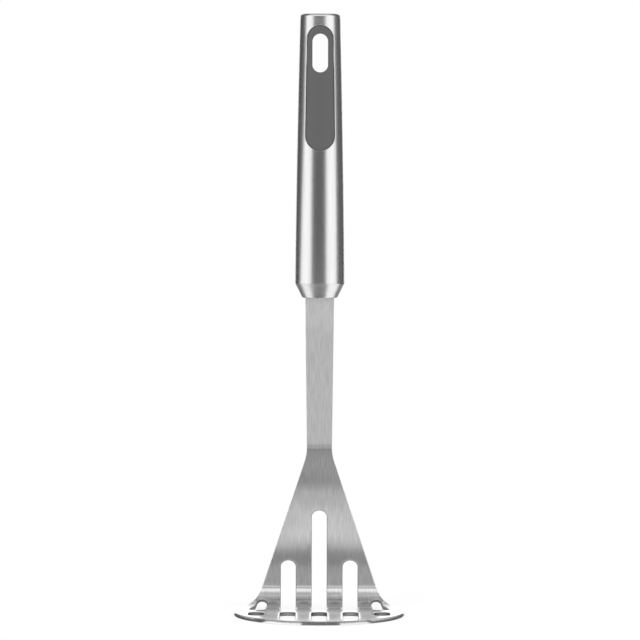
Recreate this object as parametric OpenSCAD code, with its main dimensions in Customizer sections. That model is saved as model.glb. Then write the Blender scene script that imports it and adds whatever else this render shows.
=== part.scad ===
// Potato masher: a head stamped from one stainless sheet and folded, welded into a
// hollow round handle that carries a moulded insert with a hanging slot.
// The disc rests on Z = 0, its centre under the handle's axis. +Z runs up the handle,
// -Y is the front, where the insert is, and +Y the rear, where the disc folds up.

/* [Disc and fold] */
// Diameter of the mashing disc
disc_d = 80; // [76:1:96]
// Thickness of the sheet that the whole head is stamped from
sheet_t = 2; // [1.6:0.1:2.4]
// Distance from the disc's centre back to the start of the fold
fold_y = 18.3; // [17:0.1:22]
// Inside radius of the fold between disc and blade
fold_r = 8; // [6.5:0.5:10]

/* [Blade and neck] */
// Angle of the blade from the vertical
blade_lean = 22; // [18:1:27]
// Width of the blade where it leaves the fold
blade_w = 52.4; // [48:0.1:58]
// Angle of each edge of the blade from its middle line
blade_edge_a = 16.7; // [14:0.1:19]
// Radius of the hollow corner between the disc's edge and the blade's edge
root_r = 25; // [15:1:30]
// Radius of the hollow corner between the blade's edge and the neck
shoulder_r = 27; // [15:1:35]
// Inside radius of the bend between blade and neck
crank_r = 4; // [2.5:0.5:6]
// Width of the neck at its lower end
neck_w = 11.7; // [9:0.1:14]
// Width of the neck where it enters the handle
neck_top_w = 13.5; // [10:0.1:14.5]
// Length of the neck between its lower bend and the handle
neck_len = 69.3; // [50:0.1:90]
// Length of the tang that runs on inside the handle
tang_len = 30; // [20:1:45]

/* [Slots of the head] */
// Width of the slots
slot_w = 7.2; // [6:0.1:7.6]
// Distance between the middles of neighbouring slots
slot_pitch = 14.75; // [14.2:0.05:15.6]
// Steel left between the front slots and the disc's edge
rim_w = 4; // [3:0.1:6]
// Distance from the disc's centre forward to the front slots
bar_front = 3.3; // [2:0.1:5]
// Width of the cross bar between the front slots and the rear slots
bar_w = 8; // [6:0.1:9]
// Height of the middle slot above the fold, along the blade
middle_slot_len = 38; // [25:0.5:50]
// Height of the two slots beside it above the fold, along the blade
side_slot_len = 11.2; // [7:0.1:20]
// Width of the outermost rear slots at their far end
outer_slot_end_w = 4.8; // [3.6:0.1:6]
// Distance of that far end from the middle plane
outer_slot_end_x = 27.2; // [26:0.1:28]
// Distance that the outermost rear slots reach into the fold
outer_slot_reach = 7.3; // [4:0.1:8]

/* [Handle] */
// Length of the handle with its lower cone
handle_len = 132.9; // [115:0.1:160]
// Diameter of the handle above its lower cone, where it is thickest
handle_d = 23.2; // [21:0.1:28]
// Diameter that the handle tapers to at its top
handle_top_d = 18.7; // [17:0.1:20.5]
// Share of the taper that is straight, the rest swells
taper_straight = 0.52; // [0:0.01:1]
// Wall of the handle's tube
tube_wall = 0.8; // [0.6:0.1:1.2]
// Height of the lower cone
cone_h = 6.8; // [5:0.1:10]
// Diameter of the cone's lower end
cone_end_d = 16.9; // [16.4:0.1:19]
// Radius of the edge round the cone's lower end
cone_edge_r = 0.6; // [0.3:0.1:1]
// Thickness of the cone's floor, which the tang passes through
cone_floor = 2.4; // [1.5:0.1:4]
// Height of the top cap that shows
cap_h = 2.4; // [2:0.1:4]
// Radius of the edge round the handle's top
cap_edge_r = 1.5; // [0.8:0.1:1.8]
// Depth that the cap and the cone reach into the tube
spigot_h = 6; // [3:0.5:8]
// Wall of those spigots
spigot_wall = 1.2; // [0.8:0.1:2]

/* [Insert and hanging slot] */
// Length of the insert
insert_len = 58.1; // [50:0.1:75]
// Width of the insert at its upper end
insert_top_w = 12.1; // [11.6:0.1:13]
// Width of the insert at its lower end
insert_end_w = 13.5; // [12:0.1:15]
// Distance from the handle's top down to the insert
insert_drop = 5.8; // [4:0.1:10]
// Thickness of the insert's face
insert_t = 2.2; // [1.6:0.1:3]
// Depth of the insert's face below the steel
insert_recess = 0.15; // [0:0.05:0.5]
// Width of the hanging slot
hang_w = 7.3; // [6:0.1:7.6]
// Length of the hanging slot
hang_len = 18.6; // [14:0.1:24]
// Distance from the insert's upper end down to the hanging slot
hang_drop = 3.2; // [2.6:0.1:5]
// Wall of the tunnel that lines the hanging slot
tunnel_wall = 1.2; // [0.8:0.1:1.5]
// Distance of the tunnel's end behind the handle's axis
tunnel_end = 3.5; // [2:0.1:4.5]
// Width of the rear ring round the hanging slot
ring_w = 2.6; // [2.5:0.1:3.2]
// Depth of the socket in which the rear ring takes the tunnel
socket_h = 3; // [2:0.1:4]
// Wall of that socket
socket_wall = 1; // [0.8:0.1:1.3]
// Overlap of the insert's clips behind the tube's wall
clip_lip = 0.9; // [0.5:0.1:1.2]
// Length of each clip
clip_len = 9; // [5:0.5:12]

/* [Fits] */
// Clearance round the insert and the rear ring in the tube's windows
window_gap = 0.15; // [0.1:0.05:0.3]
// Clearance of the spigots, the tang, the clips and the socket
fit_gap = 0.1; // [0.05:0.05:0.2]

/* [Hidden] */
$fn = 96;
steel = "#c9cacc";
steel_end = "#bcbec1";
grey = "#6a696b";

// Stations along the flat blank, measured from the disc's centre along the sheet's middle
fold_mid = fold_r + sheet_t / 2;
fold_a = 90 + blade_lean;
fold_c = [fold_y, sheet_t + fold_r];
u_blade = fold_y + fold_mid * fold_a * PI / 180;
crank_mid = crank_r + sheet_t / 2;
blade_foot = [fold_y + fold_mid * sin(fold_a), sheet_t / 2 + fold_mid * (1 - cos(fold_a))];
blade_len = (blade_foot[0] - crank_mid * (1 - cos(blade_lean))) / sin(blade_lean);
u_crank = u_blade + blade_len;
u_neck = u_crank + crank_mid * blade_lean * PI / 180;
u_handle = u_neck + neck_len;
u_end = u_handle + tang_len;

// Heights of the bends and of the handle
neck_z = blade_foot[1] + blade_len * cos(blade_lean) + crank_mid * sin(blade_lean);
handle_z = neck_z + neck_len;
tube_z = handle_z + cone_h;
top_z = handle_z + handle_len;
cap_z = top_z - cap_h;

// Number of steps that follow each bend and the round end of a slot in it, and of rings that
// follow the handle's swell
fold_steps = 16;
crank_steps = 4;
end_steps = 5;
tube_rings = 8;

// Depth by which two outlines that meet smoothly cross each other, so that both stay plain
seam = 0.001;
// Amount that one stretch of the folded sheet lies inside the next where they join, and the
// angle by which a bend laps over the flat stretch beside it
tuck = 0.01;
lap_a = 0.5;

// Edges of the slots along the blank
front_slot_far = -bar_front;
rear_slot_near = bar_w - bar_front;
slot_reach = disc_d / 2 - rim_w - slot_w / 2;

// Middles of the insert's and the hanging slot's round ends
insert_top_z = top_z - insert_drop - insert_top_w / 2;
insert_end_z = top_z - insert_drop - insert_len + insert_end_w / 2;
hang_top_z = top_z - insert_drop - hang_drop - hang_w / 2;
hang_end_z = hang_top_z - hang_len + hang_w;
clip_z = (insert_end_z + hang_end_z - hang_w / 2) / 2;

function unit(v) = v / norm(v);
function left_of(v) = [-v[1], v[0]];

// ---- Flat blank of the head ----

// Slot with round ends of two widths, between two centres
module round_slot(low, low_w, high, high_w) {
    way = unit(high - low);
    rise = (low_w - high_w) / 2 / norm(high - low);
    side = sqrt(1 - rise * rise);
    right = rise * way - side * left_of(way);
    left = rise * way + side * left_of(way);
    low_r = low_w / 2 - seam;
    high_r = high_w / 2 - seam;
    translate(low) circle(d = low_w);
    translate(high) circle(d = high_w);
    polygon([low + right * low_r, high + right * high_r, high + left * high_r, low + left * low_r]);
}

// Half the blade's width at a station, along its straight edge
function blade_half(u) = blade_w / 2 - (u - u_blade) * tan(blade_edge_a);

// Where the blade's edge meets the neck's, and the directions that leave that corner
neck_edge = unit([(neck_top_w - neck_w) / 2, neck_len]);
blade_edge = [sin(blade_edge_a), -cos(blade_edge_a)];
shoulder_u = u_blade + (blade_w - neck_w) / 2 / tan(blade_edge_a);
shoulder = [neck_w / 2, shoulder_u];
shoulder_turn = blade_edge_a + asin(neck_edge[0]);
shoulder_c = shoulder + shoulder_r * tan(shoulder_turn / 2) * neck_edge
             - shoulder_r * left_of(neck_edge);

// Middle of the hollow corner at the blade's root: it touches the disc and the blade's edge
edge_out = [cos(blade_edge_a), sin(blade_edge_a)];
root_off = edge_out * [blade_w / 2, u_blade] + root_r;
root_c = root_off * edge_out - sqrt(pow(disc_d / 2 + root_r, 2) - root_off * root_off) * blade_edge;
root_disc = unit(root_c) * disc_d / 2;
root_blade = root_c - root_r * edge_out;

module hollow_corner(from, middle, to, r) {
    difference() {
        polygon([[0, from[1]], from, middle, to, [0, to[1]]]);
        translate(middle) circle(r = r + seam, $fn = 360);
    }
}

module blank_outline() {
    circle(d = disc_d, $fn = 180);
    for (side = [0, 1]) mirror([side, 0]) {
        polygon([[0, fold_y], [blade_half(fold_y), fold_y], shoulder, [0, shoulder_u]]);
        polygon([[0, shoulder_u], shoulder, [neck_top_w / 2, shoulder_u + neck_len],
                 [neck_top_w / 2, u_end], [0, u_end]]);
        hollow_corner(root_disc, root_c, root_blade, root_r);
        hollow_corner(shoulder_c - shoulder_r * edge_out, shoulder_c,
                      shoulder_c + shoulder_r * left_of(neck_edge), shoulder_r);
    }
}

// Half the width of the blank at a station from the start of the fold on
shoulder_low = shoulder_c[1] - shoulder_r * edge_out[1];
shoulder_high = shoulder_c[1] + shoulder_r * left_of(neck_edge)[1];
function blank_half(u) =
    u < root_disc[1] ? sqrt(pow(disc_d / 2, 2) - u * u) :
    u < root_blade[1] ? root_c[0] - sqrt(root_r * root_r - pow(u - root_c[1], 2)) :
    u < shoulder_low ? blade_half(u) :
    u < shoulder_high ? shoulder_c[0] - sqrt(shoulder_r * shoulder_r - pow(u - shoulder_c[1], 2)) :
    neck_w / 2 + (u - shoulder_u) * neck_edge[0] / neck_edge[1];

module front_slots() {
    for (i = [-2:2]) {
        x = i * slot_pitch;
        round_slot([x, -sqrt(slot_reach * slot_reach - x * x)], slot_w,
                   [x, front_slot_far - slot_w / 2], slot_w);
    }
}

module middle_slots() {
    for (i = [-1:1]) {
        len = i == 0 ? middle_slot_len : side_slot_len;
        round_slot([i * slot_pitch, rear_slot_near + slot_w / 2], slot_w,
                   [i * slot_pitch, u_blade + len - slot_w / 2], slot_w);
    }
}

// Outermost rear slot on the +X side: middles of its two ends, and where its edges touch them
outer_near = [2 * slot_pitch, rear_slot_near + slot_w / 2];
outer_far = [outer_slot_end_x, fold_y + outer_slot_reach - outer_slot_end_w / 2];
outer_way = unit(outer_far - outer_near);
outer_rise = (slot_w - outer_slot_end_w) / 2 / norm(outer_far - outer_near);
function outer_edge(side) =
    outer_rise * outer_way - side * sqrt(1 - outer_rise * outer_rise) * left_of(outer_way);

// X of its edge at a station of the fold, on its outer side (1) or its inner side (-1)
function outer_x(u, side) =
    let (low = outer_near + outer_edge(side) * slot_w / 2,
         high = outer_far + outer_edge(side) * outer_slot_end_w / 2,
         rest = pow(outer_slot_end_w / 2, 2) - pow(u - outer_far[1], 2))
    u < high[1] ? low[0] + (u - low[1]) * (high[0] - low[0]) / (high[1] - low[1]) :
    outer_far[0] + side * sqrt(max(0, rest));

module blank() {
    difference() {
        blank_outline();
        front_slots();
        middle_slots();
        for (side = [0, 1]) mirror([side, 0]) round_slot(outer_near, slot_w, outer_far, outer_slot_end_w);
    }
}

// Part of the blank between two stations
module leaf(from, to) {
    intersection() {
        blank();
        translate([-disc_d, from]) square([2 * disc_d, to - from]);
    }
}

// ---- Folding ----

// Sector of a ring of the sheet's thickness, lying across the part
module bend_sector(centre, r, from, to) {
    reach = 2 * (r + sheet_t);
    middle = (from + to) / 2;
    translate([0, centre[0], centre[1]]) rotate([90, 0, 90])
        linear_extrude(2 * disc_d, center = true) intersection() {
            difference() {
                circle(r = r + sheet_t, $fn = 180);
                circle(r = r, $fn = 180);
            }
            polygon([[0, 0], reach * [cos(from), sin(from)], 2 * reach * [cos(middle), sin(middle)],
                     reach * [cos(to), sin(to)]]);
        }
}

// Solid that follows a bend past both faces of the sheet: a list of [angle, X from, X to]
module bent_slab(centre, r, stations) {
    last = 4 * len(stations) - 4;
    polyhedron(
        points = [for (s = stations, c = [[s[1], r - 1], [s[2], r - 1],
                                          [s[2], r + sheet_t + 1], [s[1], r + sheet_t + 1]])
            [c[0], centre[0] + c[1] * cos(s[0]), centre[1] + c[1] * sin(s[0])]],
        faces = concat(
            [[0, 1, 2], [0, 2, 3], [last, last + 2, last + 1], [last, last + 3, last + 2]],
            [for (i = [0:4:last - 4], k = [0:3])
                let (a = i + k, b = i + (k + 1) % 4) each [[a, a + 4, b + 4], [a, b + 4, b]]]));
}

// Station along the blank at an angle of the fold, and the other way round
function fold_u(a) = fold_y + a * PI / 180 * fold_mid;
function fold_angle(u) = (u - fold_y) / fold_mid * 180 / PI;

module fold() {
    shown = [for (i = [0:fold_steps])
        let (a = -2 + (fold_a + 4) * i / fold_steps, half = blank_half(fold_u(a)) - tuck)
        [a - 90, -half, half]];
    straight = [for (i = [-1:3]) fold_y + (outer_far[1] - fold_y) * i / 4];
    rounded = [for (i = [1:end_steps])
        outer_far[1] + outer_slot_end_w / 2 * sin(90 * i / (end_steps + 0.4))];
    slot = [for (u = concat(straight, rounded))
        [fold_angle(u) - 90, outer_x(u, -1) - tuck, outer_x(u, 1) + tuck]];
    difference() {
        intersection() {
            bend_sector(fold_c, fold_r, -90, fold_a - 90 + lap_a);
            bent_slab(fold_c, fold_r, shown);
        }
        for (side = [0, 1]) mirror([side, 0, 0]) bent_slab(fold_c, fold_r, slot);
    }
}

module crank() {
    centre = [crank_mid, neck_z];
    shown = [for (i = [0:crank_steps])
        let (a = -2 + (blade_lean + 4) * i / crank_steps,
             half = blank_half(u_neck - a * PI / 180 * crank_mid) - tuck)
        [180 + a, -half, half]];
    intersection() {
        bend_sector(centre, crank_r, 180, 180 + blade_lean + lap_a);
        bent_slab(centre, crank_r, shown);
    }
}

// A flat stretch of the blank, laid through a point of its middle at a station
module flat_leaf(at, a, from, to, t) {
    translate([0, at[0], at[1]]) rotate([a, 0, 0]) translate([0, -from, -t / 2])
        linear_extrude(t) leaf(from, to);
}

// Bars that clear the three middle slots through the fold
module fold_clear() {
    for (i = [-1:1]) translate([i * slot_pitch - slot_w / 2, fold_y, -sheet_t])
        cube([slot_w, fold_r + 2 * sheet_t, fold_c[1] + fold_r / 2 + 1.5 * sheet_t]);
}

module masher_head() {
    color(steel) union() {
        flat_leaf([-disc_d, sheet_t / 2], 0, -disc_d, fold_y, sheet_t);
        difference() {
            fold();
            fold_clear();
        }
        flat_leaf(blade_foot, fold_a, u_blade, u_crank, sheet_t - 2 * tuck);
        crank();
        flat_leaf([0, neck_z], 90, u_neck, u_end, sheet_t);
    }
}

// ---- Handle ----

// Radius of the handle's outside at a height
function handle_r(z) =
    let (s = (z - tube_z) / (top_z - tube_z))
    (handle_d - (handle_d - handle_top_d) * (taper_straight * s + (1 - taper_straight) * s * s)) / 2;

// Outline of the handle's outside between two heights, set in by an amount
function swell(low, high, inset) =
    [for (i = [0:tube_rings]) let (z = low + (high - low) * i / tube_rings) [handle_r(z) - inset, z]];
function reversed(list) = [for (i = [len(list) - 1:-1:0]) list[i]];

// Shell that follows the handle's outside, between two insets
module swell_shell(low, high, outer, inner) {
    rotate_extrude() polygon(concat(swell(low, high, outer), reversed(swell(low, high, inner))));
}

module swell_solid(low, high, inset) {
    rotate_extrude() polygon(concat([[0, low]], swell(low, high, inset), [[0, high]]));
}

// Prism across the handle, from one Y to another, of an outline drawn in X and Z
module across(y0, y1) {
    translate([0, y1, 0]) rotate([90, 0, 0]) linear_extrude(y1 - y0) children();
}

module insert_outline(grow) {
    round_slot([0, insert_end_z], insert_end_w + 2 * grow, [0, insert_top_z], insert_top_w + 2 * grow);
}

module hang_outline(grow) {
    round_slot([0, hang_end_z], hang_w + 2 * grow, [0, hang_top_z], hang_w + 2 * grow);
}

module handle_tube() {
    color(steel) difference() {
        swell_shell(tube_z, cap_z, 0, tube_wall);
        across(-handle_d, 0) insert_outline(window_gap);
        across(0, handle_d) hang_outline(ring_w + window_gap);
    }
}

module top_cap() {
    skirt_r = handle_r(cap_z) - tube_wall - fit_gap;
    edge_r = handle_r(top_z) - cap_edge_r;
    color(steel) rotate_extrude() {
        intersection() {
            union() {
                polygon([[0, cap_z], [handle_r(cap_z), cap_z], [edge_r + cap_edge_r, top_z - cap_edge_r],
                         [edge_r, top_z - cap_edge_r], [edge_r, top_z], [0, top_z]]);
                translate([edge_r, top_z - cap_edge_r]) circle(r = cap_edge_r);
            }
            translate([0, cap_z]) square([handle_d, cap_h]);
        }
        translate([skirt_r - spigot_wall, cap_z - spigot_h / 2]) square([spigot_wall, spigot_h / 2]);
    }
}

module end_cone() {
    end_r = cone_end_d / 2;
    plug_r = handle_r(tube_z) - tube_wall - fit_gap;
    color(steel_end) difference() {
        rotate_extrude() difference() {
            polygon([[0, handle_z], [end_r - cone_edge_r, handle_z], [end_r, handle_z + cone_edge_r],
                     [handle_r(tube_z), tube_z], [plug_r, tube_z], [plug_r, tube_z + spigot_h],
                     [0, tube_z + spigot_h]]);
            polygon([[0, handle_z + cone_floor], [end_r - spigot_wall, handle_z + cone_floor],
                     [plug_r - spigot_wall, tube_z], [plug_r - spigot_wall, tube_z + spigot_h + 1],
                     [0, tube_z + spigot_h + 1]]);
        }
        translate([0, 0, handle_z])
            cube([neck_top_w + 2 * fit_gap, sheet_t + 2 * fit_gap, 3 * cone_floor], center = true);
    }
}

module grip_insert() {
    low = insert_end_z - insert_end_w;
    clip_inset = tube_wall + fit_gap;
    color(grey) difference() {
        union() {
            intersection() {
                swell_shell(low, cap_z, insert_recess, insert_recess + insert_t);
                across(-handle_d, 0) insert_outline(0);
            }
            intersection() {
                swell_solid(low, cap_z, insert_recess);
                across(-handle_d, tunnel_end) hang_outline(tunnel_wall);
            }
            intersection() {
                swell_shell(low, cap_z, clip_inset, insert_recess + insert_t);
                across(-handle_d, 0) translate([-insert_end_w / 2 - clip_lip, clip_z - clip_len / 2])
                    square([insert_end_w + 2 * clip_lip, clip_len]);
            }
        }
        across(-handle_d, handle_d) hang_outline(0);
    }
}

module rear_ring() {
    low = hang_end_z - handle_d;
    socket = tunnel_wall + fit_gap;
    color(grey) difference() {
        union() {
            intersection() {
                swell_shell(low, cap_z, insert_recess, insert_recess + insert_t);
                across(0, handle_d) hang_outline(ring_w);
            }
            intersection() {
                swell_solid(low, cap_z, insert_recess);
                across(tunnel_end - socket_h, handle_d) hang_outline(socket + socket_wall);
            }
        }
        across(-handle_d, tunnel_end) hang_outline(socket);
        across(-handle_d, handle_d) hang_outline(0);
    }
}

masher_head();
handle_tube();
top_cap();
end_cone();
grip_insert();
rear_ring();
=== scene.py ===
import math

import bmesh
import bpy
from bpy.props import FloatProperty, PointerProperty, StringProperty
from bpy.types import Operator, Panel, PropertyGroup
from mathutils import Matrix, Vector
from mathutils.geometry import delaunay_2d_cdt


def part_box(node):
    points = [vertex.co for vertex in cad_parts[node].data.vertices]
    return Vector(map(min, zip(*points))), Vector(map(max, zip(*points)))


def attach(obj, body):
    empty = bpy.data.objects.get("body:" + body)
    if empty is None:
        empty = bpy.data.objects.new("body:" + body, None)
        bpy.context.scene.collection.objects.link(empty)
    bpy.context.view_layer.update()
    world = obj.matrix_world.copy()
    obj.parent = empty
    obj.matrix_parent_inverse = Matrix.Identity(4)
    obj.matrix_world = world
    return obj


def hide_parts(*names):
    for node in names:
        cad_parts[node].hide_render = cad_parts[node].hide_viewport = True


bl_info = {
    "name": "Potato Masher",
    "version": (1, 0, 0),
    "blender": (4, 5, 0),
    "location": "View3D > Sidebar > Masher",
    "description": "Folded stainless masher head on a hollow steel handle with a moulded insert",
    "category": "Add Mesh",
}

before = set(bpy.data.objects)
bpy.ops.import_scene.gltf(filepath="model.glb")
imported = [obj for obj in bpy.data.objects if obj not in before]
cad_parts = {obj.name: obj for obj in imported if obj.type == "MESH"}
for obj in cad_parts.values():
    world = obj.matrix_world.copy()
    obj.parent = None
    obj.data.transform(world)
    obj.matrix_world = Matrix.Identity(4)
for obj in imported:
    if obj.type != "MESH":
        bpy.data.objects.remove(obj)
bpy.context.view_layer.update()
MM = 0.001
FIT = 0.1 * MM  # gap between pieces that fit into one another

# Corners of the frame's nodes: they give the heights and the outer sizes
HEAD_HIGH = Vector(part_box("masher_head")[1])
TUBE_LOW, TUBE_HIGH = (Vector(corner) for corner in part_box("handle_tube"))
CAP_LOW, CAP_HIGH = (Vector(corner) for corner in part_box("top_cap"))
CONE_LOW, CONE_HIGH = (Vector(corner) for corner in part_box("end_cone"))
INSERT_LOW, INSERT_HIGH = (Vector(corner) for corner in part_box("grip_insert"))
RING_LOW, RING_HIGH = (Vector(corner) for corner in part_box("rear_ring"))


def length(name, description, millimetres):
    """A size that a user may change, written in millimetres and kept in metres."""
    return FloatProperty(name=name, description=description, default=millimetres * MM,
                         min=0.0, subtype="DISTANCE", unit="LENGTH")


def degrees(name, description, value):
    """An angle that a user may change, written in degrees and kept in radians."""
    return FloatProperty(name=name, description=description, default=math.radians(value),
                         subtype="ANGLE", unit="ROTATION")


def hex_colour(name, description, value):
    """A colour that a user may change, as sRGB hex."""
    return StringProperty(name=name, description=description, default=value)


class HeadSizes(PropertyGroup):
    sheet: length("Sheet", "Thickness of the stamped sheet", 2.0)
    edge: length("Edge", "Radius of the edges round the slots", 0.3)
    outline_edge: length("Outline edge", "Radius of the ground edges of the outline", 0.15)
    roll: length("Roll", "Width that the punch rolls in round a slot", 1.5)
    roll_tilt: degrees("Roll tilt", "Slope of the rolled face where it meets the edge", 14.0)
    fold_radius: length("Fold radius", "Inside radius of the fold between disc and blade", 8.0)
    lean: degrees("Lean", "Angle of the blade from the vertical", 22.0)
    blade_width: length("Blade width", "Width of the blade where it leaves the fold", 52.4)
    blade_edge: degrees("Blade edge", "Angle of each edge of the blade from its middle line", 16.7)
    root_radius: length("Root radius", "Hollow corner between the disc and the blade", 25.0)
    shoulder_radius: length("Shoulder radius", "Hollow corner between the blade and the neck", 27.0)
    crank_radius: length("Crank radius", "Inside radius of the bend below the neck", 7.0)
    neck_width: length("Neck width", "Width of the neck at its lower end", 11.7)
    neck_top_width: length("Neck top width", "Width of the neck at the handle", 13.5)
    slot_width: length("Slot width", "Width of the slots", 7.2)
    slot_pitch: length("Slot pitch", "Distance between neighbouring slots", 14.75)
    rim: length("Rim", "Steel between the front slots and the disc's edge", 4.0)
    bar_front: length("Bar front", "Distance from the disc's centre to the front slots", 3.3)
    bar_width: length("Bar width", "Width of the cross bar between front and rear slots", 8.0)
    middle_slot: length("Middle slot", "Reach of the middle slot up the blade", 38.0)
    side_slot: length("Side slots", "Reach of the slots beside it up the blade", 11.2)
    outer_slot_width: length("Outer slot width", "Width of the outermost slots at the rear", 4.8)
    outer_slot_x: length("Outer slot end", "Distance of their rear ends from the middle", 27.2)
    outer_slot_reach: length("Outer slot reach", "Reach of those slots into the fold", 7.3)


class HandleSizes(PropertyGroup):
    top_width: length("Top width", "Diameter that the handle tapers to at its top", 18.7)
    straight: FloatProperty(name="Straight share", description="Share of the taper that is straight",
                            default=0.52, min=0.0, max=1.0)
    wall: length("Wall", "Wall of the tube", 0.8)
    top_edge: length("Top edge", "Radius of the edge round the top", 1.5)
    cone_width: length("Cone width", "Diameter of the cone's lower end", 16.9)
    cone_edge: length("Cone edge", "Radius of the edge round the cone's lower end", 0.6)
    cone_floor: length("Cone floor", "Thickness of the cone's floor", 2.4)
    groove: length("Joint", "Radius of the cone's edge at its joint with the tube", 0.08)
    skirt: length("Spigot wall", "Wall of the spigots that close the tube", 1.2)
    window_edge: length("Window edge", "Radius of the edges of the two windows", 0.15)
    gap: length("Gap", "Gap between a window and the plastic in it", 0.15)


class InsertSizes(PropertyGroup):
    top_width: length("Top width", "Width of the insert at its upper end", 12.1)
    end_width: length("End width", "Width of the insert at its lower end", 13.5)
    thickness: length("Thickness", "Thickness of the insert's face", 2.2)
    recess: length("Recess", "Depth of the face below the steel", 0.15)
    edge: length("Edge", "Radius of the insert's edges", 0.35)
    slot_width: length("Slot width", "Width of the hanging slot", 7.3)
    slot_length: length("Slot length", "Length of the hanging slot", 18.6)
    slot_drop: length("Slot drop", "Distance from the insert's upper end to the slot", 3.2)
    tunnel_wall: length("Tunnel wall", "Wall round the hanging slot", 1.2)
    tunnel_end: length("Tunnel end", "End of the tunnel behind the handle's axis", 3.5)
    socket_wall: length("Socket wall", "Wall of the socket that takes the tunnel", 1.0)
    ring_width: length("Ring width", "Width of the rear ring's flange", 2.6)


class Finishes(PropertyGroup):
    steel: hex_colour("Steel", "Stainless steel, sRGB", "#DADADA")
    steel_shade: hex_colour("Steel shade", "Stainless steel between its brush lines, sRGB", "#C4C4C4")
    # The punched edges line the slots: their grey is darker than the steel partly because the cut tore it
    # and partly as painted shade inside the slots
    edge: hex_colour("Edge", "Punched edges of the steel, sRGB", "#8A8A8A")
    edge_shade: hex_colour("Edge shade", "Punched edges where the cut tore, sRGB", "#707070")
    insert: hex_colour("Insert", "Grey plastic, sRGB", "#595959")
    insert_shade: hex_colour("Insert shade", "Grey plastic in the moulding's dips, sRGB", "#4F4F4F")
    floor: hex_colour("Floor", "Pale floor, sRGB", "#FAFAFA")


class StageSizes(PropertyGroup):
    camera_distance: length("Camera distance", "Distance of the camera from the handle's axis", 1700.0)
    camera_height: length("Camera height", "Height of the camera above the floor", 208.0)
    focal: length("Lens", "Focal length on a 36 mm wide sensor", 203.9)
    pitch: degrees("Pitch", "Angle that the camera looks down at", 2.32)
    roll: degrees("Roll", "Angle that the camera leans to its left", 0.12)
    floor: length("Floor", "Width and depth of the floor", 12000.0)


# ---- Materials ----


# Range of values that nearly all of a noise pattern keeps to
NOISE_RANGE = {"From Min": 0.3, "From Max": 0.7}


def linear(text):
    """Linear colour with alpha from an sRGB hex value."""
    parts = [int(text[i:i + 2], 16) / 255 for i in (1, 3, 5)]
    return [c / 12.92 if c <= 0.04045 else ((c + 0.055) / 1.055) ** 2.4 for c in parts] + [1.0]


def add_node(material, kind, inputs=None, **settings):
    """Adds a node; inputs maps a socket's name or index to a value or to another node's output."""
    node = material.node_tree.nodes.new(kind)
    for name, value in settings.items():
        setattr(node, name, value)
    for key, value in (inputs or {}).items():
        if isinstance(value, bpy.types.NodeSocket):
            material.node_tree.links.new(value, node.inputs[key])
        else:
            node.inputs[key].default_value = value
    return node


def new_material(name):
    """A material with no nodes yet."""
    material = bpy.data.materials.new(name)
    material.use_nodes = True
    material.node_tree.nodes.clear()
    return material


def surface(material, socket):
    """Makes a shader's output the material's surface."""
    add_node(material, "ShaderNodeOutputMaterial", {"Surface": socket})
    return material


def brush_lines(material, width, span):
    """Fine lines along the flat pattern's V, this wide and this long in millimetres: 0 to 1."""
    place = add_node(material, "ShaderNodeUVMap", uv_map="UVMap")
    scaled = add_node(material, "ShaderNodeVectorMath",
                      {0: place.outputs["UV"], 1: (1 / (width * MM), 1 / (span * MM), 1.0)},
                      operation="MULTIPLY")
    return add_node(material, "ShaderNodeTexNoise",
                    {"Vector": scaled.outputs["Vector"], "Scale": 1.0, "Detail": 4.0, "Roughness": 0.6},
                    noise_dimensions="2D")


def steel_surface(material, lines, contrast, roughness, spread, relief):
    """Polished steel under brush lines that shade its colour and cut into it.

    spread is how far the lines spread a reflection across them, and relief holds the strength and
    the depth in millimetres of their cuts.
    """
    finishes = bpy.context.scene.masher_finishes
    height = lines.outputs[0]
    streak = add_node(material, "ShaderNodeMapRange",
                      {**NOISE_RANGE, "Value": height, "To Min": 1.0 - contrast, "To Max": 1.0})
    shade = add_node(material, "ShaderNodeMix",
                     {"Factor": streak.outputs["Result"], "A": linear(finishes.steel_shade),
                      "B": linear(finishes.steel)}, data_type="RGBA")
    cuts = add_node(material, "ShaderNodeBump",
                    {"Height": height, "Strength": relief[0], "Distance": relief[1] * MM})
    tangent = add_node(material, "ShaderNodeTangent", direction_type="UV_MAP", uv_map="UVMap")
    steel = add_node(material, "ShaderNodeBsdfPrincipled",
                     {"Base Color": shade.outputs["Result"], "Metallic": 1.0, "Roughness": roughness,
                      "Anisotropic": spread, "Normal": cuts.outputs["Normal"],
                      "Tangent": tangent.outputs["Tangent"]})
    return surface(material, steel.outputs["BSDF"])


def grained_surface(name, grain, detail, colours, roughness, relief, shader):
    """Surface whose even grain, this wide in millimetres, shades its colour and its roughness.

    colours and roughness are pairs, from the grain's dips to its tops. relief holds the strength
    and the depth in millimetres of the grain, or is None where it is too fine to feel.
    """
    material = new_material(name)
    place = add_node(material, "ShaderNodeTexCoord")
    noise = add_node(material, "ShaderNodeTexNoise", {"Vector": place.outputs["Object"],
                                                      "Scale": 1 / (grain * MM), "Detail": detail})
    height = noise.outputs[0]
    shade = add_node(material, "ShaderNodeMix",
                     {"Factor": height, "A": linear(colours[0]), "B": linear(colours[1])},
                     data_type="RGBA")
    dull = add_node(material, "ShaderNodeMapRange",
                    {**NOISE_RANGE, "Value": height, "To Min": roughness[0], "To Max": roughness[1]})
    inputs = {"Base Color": shade.outputs["Result"], "Roughness": dull.outputs["Result"], **shader}
    if relief:
        bumps = add_node(material, "ShaderNodeBump",
                         {"Height": height, "Strength": relief[0], "Distance": relief[1] * MM})
        inputs["Normal"] = bumps.outputs["Normal"]
    return surface(material, add_node(material, "ShaderNodeBsdfPrincipled", inputs).outputs["BSDF"])


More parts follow.
